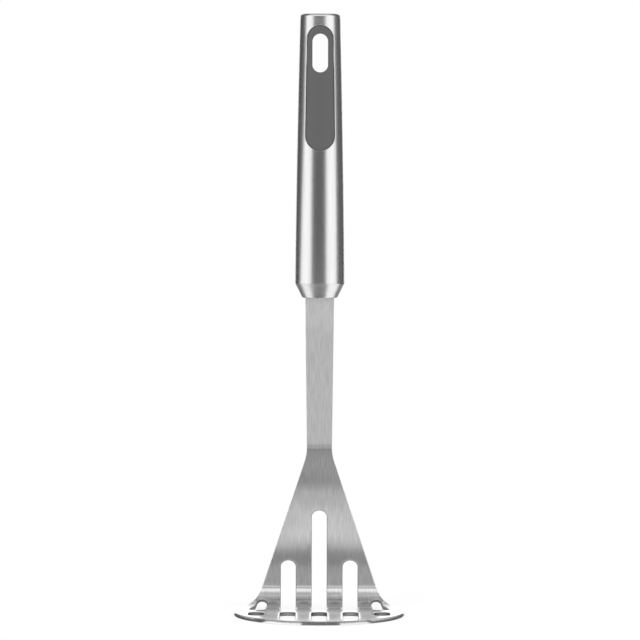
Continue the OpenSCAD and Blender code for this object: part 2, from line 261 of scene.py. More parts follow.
def brushed_sheet():
    """Stainless sheet, brushed along its length with a fine belt, the disc buffed afterwards.

    The lines spread reflections across the sheet and hardly along it, so the bends show as level
    bands. The buffed disc is the crispest mirror, and the neck the dullest. Belt lines are some
    0.05 mm wide: they are drawn 0.5 mm wide so that they can be seen.
    """
    material = new_material("brushed_stainless_sheet")
    lines = brush_lines(material, width=0.5, span=8.0)
    sheet = FoldedSheet(bpy.context.scene.masher_head)
    buffed_end = sheet.fold_start - 12 * MM
    place = add_node(material, "ShaderNodeUVMap", uv_map="UVMap")
    along = add_node(material, "ShaderNodeSeparateXYZ", {"Vector": place.outputs["UV"]})
    blade = add_node(material, "ShaderNodeMapRange",
                     {"Value": along.outputs["Y"], "From Min": buffed_end,
                      "From Max": sheet.fold_start, "To Min": 0.18, "To Max": 0.30})
    neck = add_node(material, "ShaderNodeMapRange",
                    {"Value": along.outputs["Y"], "From Min": sheet.crank_start,
                     "From Max": sheet.handle, "To Min": 0.0, "To Max": 0.10})
    dull = add_node(material, "ShaderNodeMath", {0: blade.outputs["Result"], 1: neck.outputs["Result"]},
                    operation="ADD")
    return steel_surface(material, lines, contrast=1.0, roughness=dull.outputs["Value"], spread=1.0,
                         relief=(0.3, 0.002))


def punched_shaded_edge():
    """Stainless edge as the punch leaves it, torn and not brushed: duller than the sheet, and darker
    partly because it is torn and partly as painted shade, for these are the walls inside the slots.

    The tearing is some 0.05 mm; it is drawn at 0.4 mm so that it can be seen.
    """
    finishes = bpy.context.scene.masher_finishes
    return grained_surface("punched_shaded_stainless_edge", grain=0.4, detail=3.0,
                           colours=(finishes.edge_shade, finishes.edge), roughness=(0.4, 0.55),
                           relief=(0.3, 0.02), shader={"Metallic": 1.0})


def ground_edge():
    """Stainless edge, ground round the outline and polished: a crisper mirror than the brushed face.

    The grinding is some 0.05 mm; it is drawn at 0.4 mm so that it can be seen.
    """
    finishes = bpy.context.scene.masher_finishes
    return grained_surface("ground_stainless_edge", grain=0.4, detail=2.0,
                           colours=(finishes.steel_shade, finishes.steel), roughness=(0.16, 0.22),
                           relief=None, shader={"Metallic": 1.0})


def satin_steel(name, roughness, spread):
    """Stainless steel, finely brushed along the handle to a satin gloss.

    The lines are fine and shallow, so it still mirrors the room in upright bands with soft edges.
    They are some 0.05 mm wide, and are drawn 0.4 mm wide so that they can be seen.
    """
    material = new_material(name)
    lines = brush_lines(material, width=0.4, span=30.0)
    return steel_surface(material, lines, contrast=0.4, roughness=roughness, spread=spread,
                         relief=(0.05, 0.001))


def satin_tube():
    """Stainless tube: its long brush lines draw the reflections out into upright bands."""
    return satin_steel("satin_stainless_tube", roughness=0.24, spread=0.7)


def spun_cone():
    """Stainless cone, spun and then brushed like the tube, but a little duller."""
    return satin_steel("satin_stainless_cone", roughness=0.26, spread=0.6)


def moulded_insert():
    """ABS moulded in a finely spark-eroded tool: a matt grey with hardly any sheen.

    The grain of such a tool is some 0.1 mm; it is drawn at 0.5 mm so that it can be seen.
    """
    finishes = bpy.context.scene.masher_finishes
    return grained_surface("moulded_grey_abs", grain=0.5, detail=3.0,
                           colours=(finishes.insert_shade, finishes.insert), roughness=(0.5, 0.62),
                           relief=(0.4, 0.02), shader={"IOR": 1.53})


def seen_directly(material):
    """1 for the rays that see the backdrop itself: from the camera, a mirror or glass."""
    path = add_node(material, "ShaderNodeLightPath")
    metal = add_node(material, "ShaderNodeMath",
                     {0: path.outputs["Is Camera Ray"], 1: path.outputs["Is Glossy Ray"]},
                     operation="MAXIMUM")
    return add_node(material, "ShaderNodeMath",
                    {0: metal.outputs["Value"], 1: path.outputs["Is Transmission Ray"]},
                    operation="MAXIMUM")


def painted_floor():
    """Pale painted board: white far off, and close by it keeps a share of the part's shadow."""
    finishes = bpy.context.scene.masher_finishes
    material = new_material("painted_pale_floor")
    place = add_node(material, "ShaderNodeNewGeometry")
    away = add_node(material, "ShaderNodeVectorMath", {0: place.outputs["Position"]}, operation="LENGTH")
    whiteness = add_node(material, "ShaderNodeMapRange",
                         {"Value": away.outputs["Value"], "From Min": 50 * MM, "From Max": 300 * MM,
                          "To Min": 0.8, "To Max": 1.0})
    mask = add_node(material, "ShaderNodeMath", {0: seen_directly(material).outputs["Value"],
                                                 1: whiteness.outputs["Result"]}, operation="MULTIPLY")
    paint = add_node(material, "ShaderNodeBsdfDiffuse", {"Color": linear(finishes.floor)})
    glow = add_node(material, "ShaderNodeEmission", {"Color": (1, 1, 1, 1), "Strength": 1.0})
    mixed = add_node(material, "ShaderNodeMixShader", {0: mask.outputs["Value"], 1: paint.outputs["BSDF"],
                                                       2: glow.outputs["Emission"]})
    return surface(material, mixed.outputs["Shader"])


def glowing_card(name, radiance):
    """Stretched cloth lit from behind, or a card that is darker: an even field of one brightness."""
    material = new_material(name)
    glow = add_node(material, "ShaderNodeEmission", {"Color": (1, 1, 1, 1), "Strength": radiance})
    return surface(material, glow.outputs["Emission"])


# ---- Building meshes with exact corner normals ----


# Steps of a small rounded edge, of the rolled face and the edge of a punched hole, and of a full turn
EDGE_STEPS, ROLL_STEPS, ROUND_STEPS = 4, 5, 144
# Faces of a rim whose normals rise less than this are its wall, and the rest belong to its face
WALL_RISE = math.radians(70)


def new_shell():
    """An empty mesh whose corners carry their own normals, and whose points may be taken to a Y.

    That Y is the layer "reach", which is 0 for a point that isn't.
    """
    shell = bmesh.new()
    shell.loops.layers.float_vector.new("normal")
    shell.loops.layers.uv.new("UVMap")
    shell.verts.layers.float.new("reach")
    return shell


def add_face(shell, corners):
    """Adds and returns a smooth face from a list of (point, normal)."""
    layer = shell.loops.layers.float_vector["normal"]
    made = shell.faces.new([point for point, _ in corners])
    made.smooth = True
    for corner, (_, normal) in zip(made.loops, corners):
        corner[layer] = normal
    return made


def arc(centre, radius, start, end, steps):
    """Points on an arc from one angle to another, both ends included."""
    angles = [start + (end - start) * i / steps for i in range(steps + 1)]
    return [Vector((centre[0] + radius * math.cos(a), centre[1] + radius * math.sin(a))) for a in angles]


def round_slot(low, low_width, high, high_width, steps=20):
    """Outline of a slot with round ends of two widths, counter-clockwise."""
    way = high - low
    heading = math.atan2(way.y, way.x)
    half = math.acos((high_width - low_width) / 2 / way.length)
    return (arc(high, high_width / 2, heading - half, heading + half, steps)
            + arc(low, low_width / 2, heading + half, heading + 2 * math.pi - half, steps))


def outward(loop):
    """Normals away from the solid of a loop that keeps the solid on its left, longer at corners."""
    normals = []
    for i, point in enumerate(loop):
        before = (point - loop[i - 1]).normalized()
        after = (loop[(i + 1) % len(loop)] - point).normalized()
        sides = Vector((before.y, -before.x)), Vector((after.y, -after.x))
        middle = (sides[0] + sides[1]).normalized()
        normals.append(middle / max(0.5, middle.dot(sides[0])))
    return normals


def is_inside(point, loops):
    """Whether a point lies in an outline and outside its holes."""
    crossings = 0
    for loop in loops:
        for i, here in enumerate(loop):
            last = loop[i - 1]
            if (here.y > point.y) != (last.y > point.y):
                x = here.x + (point.y - here.y) * (last.x - here.x) / (last.y - here.y)
                crossings += x > point.x
    return crossings % 2 == 1


def triangles(loops):
    """Triangles that fill an outline and leave its holes open, as indices into all the loops' points."""
    scaled = [[point / MM for point in loop] for loop in loops]
    points = [point for loop in scaled for point in loop]
    edges = []
    first = 0
    for loop in loops:
        edges += [(first + i, first + (i + 1) % len(loop)) for i in range(len(loop))]
        first += len(loop)
    places, _, faces, origins, _, _ = delaunay_2d_cdt(points, edges, [], 0, 1e-7)
    kept = []
    for corners in faces:
        middle = sum((places[i] for i in corners), Vector((0, 0))) / 3
        if is_inside(middle, scaled):
            kept.append([origins[i][0] for i in corners])
    return kept


def fill_flat(shell, rows, up):
    """Fills a level outline and leaves its holes open; the face looks up (1) or down (-1)."""
    points = [vertex for row in rows for vertex in row]
    normal = Vector((0, 0, up))
    for corners in triangles([[vertex.co.xy for vertex in row] for row in rows]):
        order = corners if up > 0 else corners[::-1]
        add_face(shell, [(points[i], normal) for i in order])


def rounded_edge(radius):
    """Profile of a rounded edge, from a plate's face to its side.

    Each ring of a profile is (inset, height, rise of the normal above it, the same below it, Y that
    the ring is taken to or None).
    """
    turns = [math.pi / 2 * i / EDGE_STEPS for i in range(EDGE_STEPS + 1)]
    return [(radius * (1 - math.sin(a)), -radius * (1 - math.cos(a)),
             math.pi / 2 - a, math.pi / 2 - a, None) for a in turns]


def lower_edge(radius, depth):
    """Profile of the rounded edge on the far side of a plate of this depth."""
    return [(inset, -depth - height, -rise, -rise, None)
            for inset, height, rise, _, _ in reversed(rounded_edge(radius))]


def rounded_side(radius, depth):
    """Profile of a whole side of a plate with both its edges rounded."""
    return rounded_edge(radius) + lower_edge(radius, depth)


def punched_side(radius, depth, roll, tilt):
    """Profile of a hole's side, where the punch has rolled the upper face in before the edge."""
    start = radius * (1 - math.sin(tilt))
    drop = (roll - start) * math.tan(tilt) / 2
    rings = []
    for i in range(ROLL_STEPS):
        share = i / ROLL_STEPS
        rise = math.pi / 2 - math.atan(share * math.tan(tilt))
        rings.append((roll - (roll - start) * share, -drop * share ** 2, rise, rise, None))
    for i in range(ROLL_STEPS + 1):
        turn = tilt + (math.pi / 2 - tilt) * i / ROLL_STEPS
        rings.append((radius * (1 - math.sin(turn)), radius * (math.cos(turn) - math.cos(tilt)) - drop,
                      math.pi / 2 - turn, math.pi / 2 - turn, None))
    return rings + lower_edge(radius, depth)


def rim(loop, profile, is_hole=False):
    """Rim of a flat plate: its rings lie along the loop's normals."""
    solid_left = loop[::-1] if is_hole else loop
    sides = outward(solid_left)

    def ring(inset, _height):
        return [point - side * inset for point, side in zip(solid_left, sides)]

    return ring, sides, profile


def risen(sides, rise):
    """The flat normals of a rim, turned up by this angle."""
    return [Vector((side.x * math.cos(rise), side.y * math.cos(rise), math.sin(rise))) for side in sides]


def add_plate(shell, rims, side_material=0, hole_material=0):
    """Closed plate in the flat: its outer rim first, then those of its holes."""
    reaches = shell.verts.layers.float["reach"]
    tops, bottoms = [], []
    for ring, sides, profile in rims:
        flat = [side.normalized() for side in sides]
        wall_material = hole_material if tops else side_material
        rows = []
        for inset, height, above, below, reach in profile:
            row = [shell.verts.new((point.x, point.y, height)) for point in ring(inset, height)]
            for vertex in row:
                vertex[reaches] = reach or 0.0
            rows.append((row, risen(flat, above), risen(flat, below), above < WALL_RISE))
        for (upper, _, upper_normals, _), (lower, lower_normals, _, is_wall) in zip(rows, rows[1:]):
            for i in range(len(flat)):
                j = (i + 1) % len(flat)
                made = add_face(shell, [(upper[i], upper_normals[i]), (lower[i], lower_normals[i]),
                                        (lower[j], lower_normals[j]), (upper[j], upper_normals[j])])
                made.material_index = wall_material if is_wall else 0
        tops.append(rows[0][0])
        bottoms.append(rows[-1][0])
    fill_flat(shell, tops, 1)
    fill_flat(shell, bottoms, -1)


def cut_across(shell, axis, stations):
    """Cuts every face that crosses a station, so that the shell can follow a bend there."""
    direction = Vector([float(i == axis) for i in range(3)])
    for station in stations:
        everything = shell.verts[:] + shell.edges[:] + shell.faces[:]
        bmesh.ops.bisect_plane(shell, geom=everything, dist=1e-9,
                               plane_co=direction * station, plane_no=direction)


def keep_flat_map(shell):
    """Lays the UV map out as the flat pattern, in metres, before the shell is shaped."""
    layer = shell.loops.layers.uv["UVMap"]
    for made in shell.faces:
        for corner in made.loops:
            corner[layer].uv = corner.vert.co.xy


def shape(shell, place):
    """Moves each point, and turns its corners' normals, as place(point, reach) says."""
    layer = shell.loops.layers.float_vector["normal"]
    reaches = shell.verts.layers.float["reach"]
    for vertex in shell.verts:
        spot, axes = place(vertex.co, vertex[reaches])
        for corner in vertex.link_loops:
            corner[layer] = (axes @ corner[layer]).normalized()
        vertex.co = spot


def around(radius, height, steps):
    """Points of a level circle, from the front towards +X."""
    turns = [2 * math.pi * i / steps for i in range(steps)]
    return [Vector((radius * math.sin(a), -radius * math.cos(a), height)) for a in turns]


def add_lathe(shell, segments):
    """Surface of revolution: a segment is two ends, each ((radius, height), (out, up) of its normal)."""
    layer = shell.loops.layers.uv["UVMap"]
    rings = {}

    def ring_at(spot):
        key = (round(spot[0], 8), round(spot[1], 8))
        if key not in rings:
            steps = ROUND_STEPS if key[0] > 0 else 1
            rings[key] = [shell.verts.new(point) for point in around(*spot, steps)]
        return rings[key]

    for ends in segments:
        rows = [ring_at(spot) for spot, _ in ends]
        for i in range(ROUND_STEPS):
            corners = []
            for row, ((radius, height), (out, up)), turns in zip(rows, ends, ((i, i + 1), (i + 1, i))):
                for turn in turns:
                    a = 2 * math.pi * turn / ROUND_STEPS
                    corners.append((row[turn % len(row)], (out * math.sin(a), -out * math.cos(a), up),
                                    (a * TUBE_HIGH.x, height - radius)))
            if corners[0][0] == corners[1][0]:
                corners.pop(0)
            if corners[-1][0] == corners[-2][0]:
                corners.pop()
            made = add_face(shell, [corner[:2] for corner in corners])
            for loop, (_, _, flat) in zip(made.loops, corners):
                loop[layer].uv = flat


def straight_run(points):
    """Lathe segments through points, each with its own flat normal."""
    segments = []
    for low, high in zip(points, points[1:]):
        out, up = high[1] - low[1], low[0] - high[0]
        size = math.hypot(out, up)
        segments.append(((low, (out / size, up / size)), (high, (out / size, up / size))))
    return segments


def rounded_run(centre, radius, start, end, steps=8):
    """Lathe segments round an edge, whose normals turn with it."""
    angles = [start + (end - start) * i / steps for i in range(steps + 1)]
    ends = [((centre[0] + radius * math.cos(a), centre[1] + radius * math.sin(a)),
             (math.cos(a), math.sin(a))) for a in angles]
    return list(zip(ends, ends[1:]))


def finish_piece(shell, name, materials, node):
    """Turns the shell into the piece that stands for a node of the frame."""
    bmesh.ops.remove_doubles(shell, verts=shell.verts, dist=1e-7)
    layer = shell.loops.layers.float_vector["normal"]
    normals = [tuple(corner[layer]) for made in shell.faces for corner in made.loops]
    shell.loops.layers.float_vector.remove(layer)
    shell.verts.layers.float.remove(shell.verts.layers.float["reach"])
    mesh = bpy.data.meshes.new(name)
    shell.to_mesh(mesh)
    shell.free()
    mesh.normals_split_custom_set(normals)
    for material in materials:
        mesh.materials.append(material)
    piece = bpy.data.objects.new(name, mesh)
    bpy.context.scene.collection.objects.link(piece)
    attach(piece, "root")
    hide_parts(node)


# ---- Head ----


# Cuts along the two bends, and steps of the blank's outline round the disc and in a hollow corner
FOLD_STEPS, CRANK_STEPS = 48, 10
DISC_STEPS, CORNER_STEPS = 84, 14


class FoldedSheet:
    """Stations along the head's flat blank, and where the folded sheet takes them."""

    def __init__(self, sizes):
        self.sheet = sizes.sheet
        self.fold_mid = sizes.fold_radius + sizes.sheet / 2
        self.crank_mid = sizes.crank_radius + sizes.sheet / 2
        self.fold_angle = math.pi / 2 + sizes.lean
        self.fold_start = HEAD_HIGH.y - sizes.fold_radius - sizes.sheet
        self.fold_end = self.fold_start + self.fold_mid * self.fold_angle
        self.foot_y = self.fold_start + self.fold_mid * math.sin(self.fold_angle)
        self.foot_z = sizes.sheet / 2 + self.fold_mid * (1 - math.cos(self.fold_angle))
        run = self.foot_y - self.crank_mid * (1 - math.cos(sizes.lean))
        blade = run / math.sin(sizes.lean)
        self.crank_start = self.fold_end + blade
        self.crank_end = self.crank_start + self.crank_mid * sizes.lean
        self.neck_z = (self.foot_z + blade * math.cos(sizes.lean)
                       + self.crank_mid * math.sin(sizes.lean))
        self.handle = self.crank_end + CONE_LOW.z - self.neck_z
        self.end = self.crank_end + HEAD_HIGH.z - self.neck_z

    def middle(self, u):
        """Y and Z of the sheet's middle at a station, and the angle that it runs at there."""
        if u < self.fold_start:
            return u, self.sheet / 2, 0.0
        if u < self.fold_end:
            angle = (u - self.fold_start) / self.fold_mid
            return (self.fold_start + self.fold_mid * math.sin(angle),
                    self.sheet / 2 + self.fold_mid * (1 - math.cos(angle)), angle)
        if u < self.crank_start:
            along = u - self.fold_end
            return (self.foot_y + along * math.cos(self.fold_angle),
                    self.foot_z + along * math.sin(self.fold_angle), self.fold_angle)
        if u < self.crank_end:
            angle = self.fold_angle - (u - self.crank_start) / self.crank_mid
            return (self.crank_mid * (1 - math.sin(angle)),
                    self.neck_z + self.crank_mid * math.cos(angle), angle)
        return 0.0, self.neck_z + u - self.crank_end, math.pi / 2

    def place(self, point, _reach):
        """Where the folded sheet takes a point of the blank, and the axes that its normals turn to."""
        y, z, angle = self.middle(point.y)
        along, up = math.cos(angle), math.sin(angle)
        axes = Matrix(((1, 0, 0), (0, along, -up), (0, up, along)))
        height = point.z + self.sheet / 2
        return Vector((point.x, y - height * up, z + height * along)), axes

    def cuts(self):
        """Stations that cut the blank finely enough to follow both bends."""
        bends = ((self.fold_start, self.fold_end, FOLD_STEPS),
                 (self.crank_start, self.crank_end, CRANK_STEPS))
        return [start + (end - start) * i / steps for start, end, steps in bends
                for i in range(steps + 1)]


def half_outline(sizes, sheet):
    """Right half of the blank's outline, from the front of the disc up to the tang's end."""
    tilt = sizes.blade_edge
    edge_out = Vector((math.cos(tilt), math.sin(tilt)))
    edge_down = Vector((math.sin(tilt), -math.cos(tilt)))
    flare = (sizes.neck_top_width - sizes.neck_width) / 2
    neck_edge = Vector((flare, sheet.handle - sheet.crank_end)).normalized()

    root_off = edge_out.dot(Vector((sizes.blade_width / 2, sheet.fold_end))) + sizes.root_radius
    root_far = HEAD_HIGH.x + sizes.root_radius
    root = edge_out * root_off - edge_down * math.sqrt(root_far ** 2 - root_off ** 2)
    root_angle = math.atan2(root.y, root.x)

    taper = (sizes.blade_width - sizes.neck_width) / 2
    turn = tilt + math.asin(neck_edge.x)
    shoulder = (Vector((sizes.neck_width / 2, sheet.fold_end + taper / math.tan(tilt)))
                + neck_edge * sizes.shoulder_radius * math.tan(turn / 2)
                + Vector((neck_edge.y, -neck_edge.x)) * sizes.shoulder_radius)

    half_top = sizes.neck_top_width / 2
    neck_angle = -math.pi - math.asin(neck_edge.x)
    return (arc((0, 0), HEAD_HIGH.x, -math.pi / 2, root_angle, DISC_STEPS)
            + arc(root, sizes.root_radius, root_angle - math.pi, tilt - math.pi, CORNER_STEPS)[1:]
            + arc(shoulder, sizes.shoulder_radius, tilt - math.pi, neck_angle, CORNER_STEPS)
            + [Vector((half_top, sheet.handle)), Vector((half_top, sheet.end))])


def head_slots(sizes, sheet):
    """Outlines of the blank's slots: five at the front, and five that run into the fold."""
    width, pitch = sizes.slot_width, sizes.slot_pitch
    reach = HEAD_HIGH.x - sizes.rim - width / 2
    near = sizes.bar_width - sizes.bar_front + width / 2
    slots = []
    for i in range(-2, 3):
        x = i * pitch
        front = Vector((x, -math.sqrt(reach ** 2 - x ** 2)))
        slots.append(round_slot(front, width, Vector((x, -sizes.bar_front - width / 2)), width))
    for i in range(-1, 2):
        rise = sizes.middle_slot if i == 0 else sizes.side_slot
        top = Vector((i * pitch, sheet.fold_end + rise - width / 2))
        slots.append(round_slot(Vector((i * pitch, near)), width, top, width))
    far_y = sheet.fold_start + sizes.outer_slot_reach - sizes.outer_slot_width / 2
    for side in (-1, 1):
        far = Vector((side * sizes.outer_slot_x, far_y))
        slots.append(round_slot(Vector((side * 2 * pitch, near)), width, far, sizes.outer_slot_width))
    return slots


class MASHER_OT_add_head(Operator):
    """Folds the slotted head from its flat blank: disc, blade, neck and the tang inside the handle"""
    bl_idname = "masher.add_head"
    bl_label = "Head"

    def execute(self, context):
        sizes = context.scene.masher_head
        sheet = FoldedSheet(sizes)
        right = half_outline(sizes, sheet)
        left = [Vector((-point.x, point.y)) for point in reversed(right[1:])]
        hole = punched_side(sizes.edge, sizes.sheet, sizes.roll, sizes.roll_tilt)
        rims = [rim(right + left, rounded_side(sizes.outline_edge, sizes.sheet))]
        rims += [rim(slot, hole, True) for slot in head_slots(sizes, sheet)]
        shell = new_shell()
        add_plate(shell, rims, side_material=1, hole_material=2)
        cut_across(shell, 1, sheet.cuts())
        keep_flat_map(shell)
        shape(shell, sheet.place)
        finish_piece(shell, "masher_head_steel", (brushed_sheet(), ground_edge(), punched_shaded_edge()),
                     "masher_head")
        return {"FINISHED"}


# ---- Handle ----


# Spacing of the cuts that let a plate follow the handle: round it in degrees, and along it
TURN_STEP, HEIGHT_STEP = 3, 5 * MM


def handle_radius(height):
    """Outside radius of the handle at a height above the cone."""
    sizes = bpy.context.scene.masher_handle
    share = (height - TUBE_LOW.z) / (CAP_HIGH.z - TUBE_LOW.z)
    shrink = TUBE_HIGH.x - sizes.top_width / 2
    return TUBE_HIGH.x - shrink * (sizes.straight * share + (1 - sizes.straight) * share ** 2)


def handle_slope(height):
    """How fast the handle widens upwards at a height."""
    return (handle_radius(height + MM) - handle_radius(height - MM)) / (2 * MM)


def round_handle(inset):
    """Place function that lays a flat plate round the handle, this far below its surface."""
    def place(point, reach):
        angle = point.x / TUBE_HIGH.x
        side, front = math.sin(angle), -math.cos(angle)
        radius = handle_radius(point.y) - inset + point.z
        spot = Vector((radius * side, reach or radius * front, point.y))
        out = Vector((side, front, -handle_slope(point.y))).normalized()
        facing = Vector((1.0 if front < 0 else -1.0, 0, 0))
        return spot, Matrix((facing, Vector((0, 0, 1)), out)).transposed()
    return place


def rounded_rim(outline, profile, inset, is_hole=False, is_behind=False):
    """Rim of a plate laid round the handle, whose sides run straight along Y.

    outline(grow) gives it as seen from the front, counter-clockwise.
    """
    def order(loop):
        return loop[::-1] if is_hole else loop

    def ring(shrink, height):
        flat = []
        for point in order(outline(shrink if is_hole else -shrink)):
            angle = math.asin(point.x / (handle_radius(point.y) - inset + height))
            flat.append(Vector(((angle - math.pi * is_behind) * TUBE_HIGH.x, point.y)))
        return flat

    return ring, outward(order(outline(0.0))), profile


def wrap_round_handle(shell, inset, heights, turns):
    """Wraps a flat plate round the handle, this far below its surface.

    heights and turns, in degrees from the front, are the ranges that it needs cuts in.
    """
    stops = range(turns[0], turns[1] + 1, TURN_STEP)
    cut_across(shell, 0, [math.radians(stop) * TUBE_HIGH.x for stop in stops])
    low, high = heights
    count = max(2, round((high - low) / HEIGHT_STEP))
    cut_across(shell, 1, [low + (high - low) * i / count for i in range(1, count)])
    keep_flat_map(shell)
    shape(shell, round_handle(inset))


def insert_outline(grow=0.0):
    """Outline of the insert, wider by this on each side."""
    sizes = bpy.context.scene.masher_insert
    top = Vector((0, INSERT_HIGH.z - sizes.top_width / 2))
    end = Vector((0, INSERT_LOW.z + sizes.end_width / 2))
    return round_slot(end, sizes.end_width + 2 * grow, top, sizes.top_width + 2 * grow, steps=28)


def hanging_outline(grow=0.0):
    """Outline of the hanging slot, wider by this on each side."""
    sizes = bpy.context.scene.masher_insert
    top = Vector((0, INSERT_HIGH.z - sizes.slot_drop - sizes.slot_width / 2))
    end = Vector((0, top.y - sizes.slot_length + sizes.slot_width))
    return round_slot(end, sizes.slot_width + 2 * grow, top, sizes.slot_width + 2 * grow, steps=24)


class MASHER_OT_add_tube(Operator):
    """Wraps the tube's wall round the handle, with a window for the insert and one for the rear ring"""
    bl_idname = "masher.add_tube"
    bl_label = "Tube"

    def execute(self, context):
        sizes = context.scene.masher_handle
        ring_width = context.scene.masher_insert.ring_width
        low_turn, high_turn = -1.5 * math.pi * TUBE_HIGH.x, 0.5 * math.pi * TUBE_HIGH.x
        corners = [Vector((low_turn, TUBE_LOW.z)), Vector((high_turn, TUBE_LOW.z)),
                   Vector((high_turn, TUBE_HIGH.z)), Vector((low_turn, TUBE_HIGH.z))]
        ends = [Vector((0, -1)), Vector((0, -1)), Vector((0, 1)), Vector((0, 1))]
        sharp_side = [(0, 0, 0, 0, None), (0, -sizes.wall, 0, 0, None)]
        wall = (lambda inset, height: corners, ends, sharp_side)
        edge = rounded_side(sizes.window_edge, sizes.wall)
        front = rounded_rim(lambda grow: insert_outline(grow + sizes.gap), edge, 0.0, is_hole=True)
        rear = rounded_rim(lambda grow: hanging_outline(grow + ring_width + sizes.gap), edge, 0.0,
                           is_hole=True, is_behind=True)
        shell = new_shell()
        add_plate(shell, [wall, front, rear])
        # The two upright sides of the wall meet, so the closed tube has no faces there
        seam = [made for made in shell.faces
                if {vertex.co.x for vertex in made.verts} in ({corners[0].x}, {corners[1].x})]
        bmesh.ops.delete(shell, geom=seam, context="FACES")
        wrap_round_handle(shell, 0.0, heights=(TUBE_LOW.z, TUBE_HIGH.z), turns=(-267, 87))
        finish_piece(shell, "handle_tube_steel", (satin_tube(),), "handle_tube")
        return {"FINISHED"}


class MASHER_OT_add_cap(Operator):
    """Turns the cap that closes the top of the tube"""
    bl_idname = "masher.add_cap"
    bl_label = "Cap"

    def execute(self, context):
        sizes = context.scene.masher_handle
        joint = TUBE_HIGH.z
        skirt = handle_radius(joint) - sizes.wall - FIT
        inner = skirt - sizes.skirt
        flat = handle_radius(CAP_HIGH.z) - sizes.top_edge
        shoulder = CAP_HIGH.z - sizes.top_edge
        slope = handle_slope(shoulder)
        rim_low = (handle_radius(joint), joint)
        rim_high = (flat + sizes.top_edge, shoulder)
        segments = straight_run([(0.0, joint), (inner, joint), (inner, CAP_LOW.z), (skirt, CAP_LOW.z),
                                 (skirt, joint), rim_low])
        segments.append(((rim_low, (1.0, -slope)), (rim_high, (1.0, 0.0))))
        segments += rounded_run((flat, shoulder), sizes.top_edge, 0.0, math.pi / 2)
        segments += straight_run([(flat, CAP_HIGH.z), (0.0, CAP_HIGH.z)])
        shell = new_shell()
        add_lathe(shell, segments)
        finish_piece(shell, "top_cap_steel", (satin_tube(),), "top_cap")
        return {"FINISHED"}


def turn_cone(shell, sizes):
    """Turns the cone and its spigot, open at both sides of its floor.

    Returns the spigot's inside radius and the height of the floor's upper side.
    """
    bottom, joint, top = CONE_LOW.z, TUBE_LOW.z, CONE_HIGH.z
    end, edge, groove = sizes.cone_width / 2, sizes.cone_edge, sizes.groove
    side = Vector((TUBE_HIGH.x - end, joint - bottom)).normalized()
    tilt = math.atan2(-side.x, side.y)
    segments = rounded_run((end - edge, bottom + edge), edge, -math.pi / 2, tilt, steps=6)
    foot = segments[-1][-1][0]
    shoulder = (TUBE_HIGH.x - groove * (1 - math.cos(tilt)), joint - groove + groove * math.sin(tilt))
    slant = (side.y, -side.x)
    segments.append(((foot, slant), (shoulder, slant)))
    segments += rounded_run((TUBE_HIGH.x - groove, joint - groove), groove, tilt, math.pi / 2, steps=4)
    plug = TUBE_HIGH.x - sizes.wall - FIT
    inner, floor_top = plug - sizes.skirt, bottom + sizes.cone_floor
    segments += straight_run([(TUBE_HIGH.x - groove, joint), (plug, joint), (plug, top), (inner, top),
                              (inner, floor_top)])
    add_lathe(shell, segments)
    return inner, floor_top


def close_cone_floor(shell, scene, inner, floor_top):
    """Closes both sides of the cone's floor round the neck's slot, and adds the slot's walls."""
    bottom, foot = CONE_LOW.z, scene.masher_handle.cone_width / 2 - scene.masher_handle.cone_edge
    half_x = scene.masher_head.neck_top_width / 2 + FIT
    half_y = scene.masher_head.sheet / 2 + FIT
    slot = [Vector((-half_x, -half_y)), Vector((half_x, -half_y)),
            Vector((half_x, half_y)), Vector((-half_x, half_y))]
    for radius, height, up in ((foot, bottom, -1), (inner, floor_top, 1)):
        points = [around(radius, height, ROUND_STEPS), [(*point, height) for point in slot]]
        fill_flat(shell, [[shell.verts.new(point) for point in row] for row in points], up)
    for start, stop in zip(slot, slot[1:] + slot[:1]):
        way = (stop - start).normalized()
        facing = Vector((-way.y, way.x, 0.0))
        wall = [(start, bottom), (start, floor_top), (stop, floor_top), (stop, bottom)]
        add_face(shell, [(shell.verts.new((*point, z)), facing) for point, z in wall])


class MASHER_OT_add_cone(Operator):
    """Turns the cone that closes the tube's lower end, with the slot that the neck passes through"""
    bl_idname = "masher.add_cone"
    bl_label = "Cone"

    def execute(self, context):
        shell = new_shell()
        inner, floor_top = turn_cone(shell, context.scene.masher_handle)
        close_cone_floor(shell, context.scene, inner, floor_top)
        finish_piece(shell, "end_cone_steel", (spun_cone(),), "end_cone")
        return {"FINISHED"}


# ---- Insert ----


class MASHER_OT_add_insert(Operator):
    """Moulds the grey insert: its face, and the tunnel of the hanging slot"""
    bl_idname = "masher.add_insert"
    bl_label = "Insert"

    def execute(self, context):
        sizes = context.scene.masher_insert
        depth = -sizes.thickness
        end = sizes.tunnel_end
        tunnel = rounded_edge(sizes.edge) + [
            (0.0, -sizes.edge, 0.0, -math.pi / 2, end),
            (sizes.tunnel_wall, depth, -math.pi / 2, math.pi, end),
            (sizes.tunnel_wall, depth, math.pi, -math.pi / 2, None)]
        side = rounded_side(sizes.edge, sizes.thickness)
        shell = new_shell()
        add_plate(shell, [rounded_rim(insert_outline, side, sizes.recess),
                          rounded_rim(hanging_outline, tunnel, sizes.recess, is_hole=True)])
        wrap_round_handle(shell, sizes.recess, heights=(INSERT_LOW.z, INSERT_HIGH.z), turns=(-57, 57))
        finish_piece(shell, "grip_insert_plastic", (moulded_insert(),), "grip_insert")
        return {"FINISHED"}


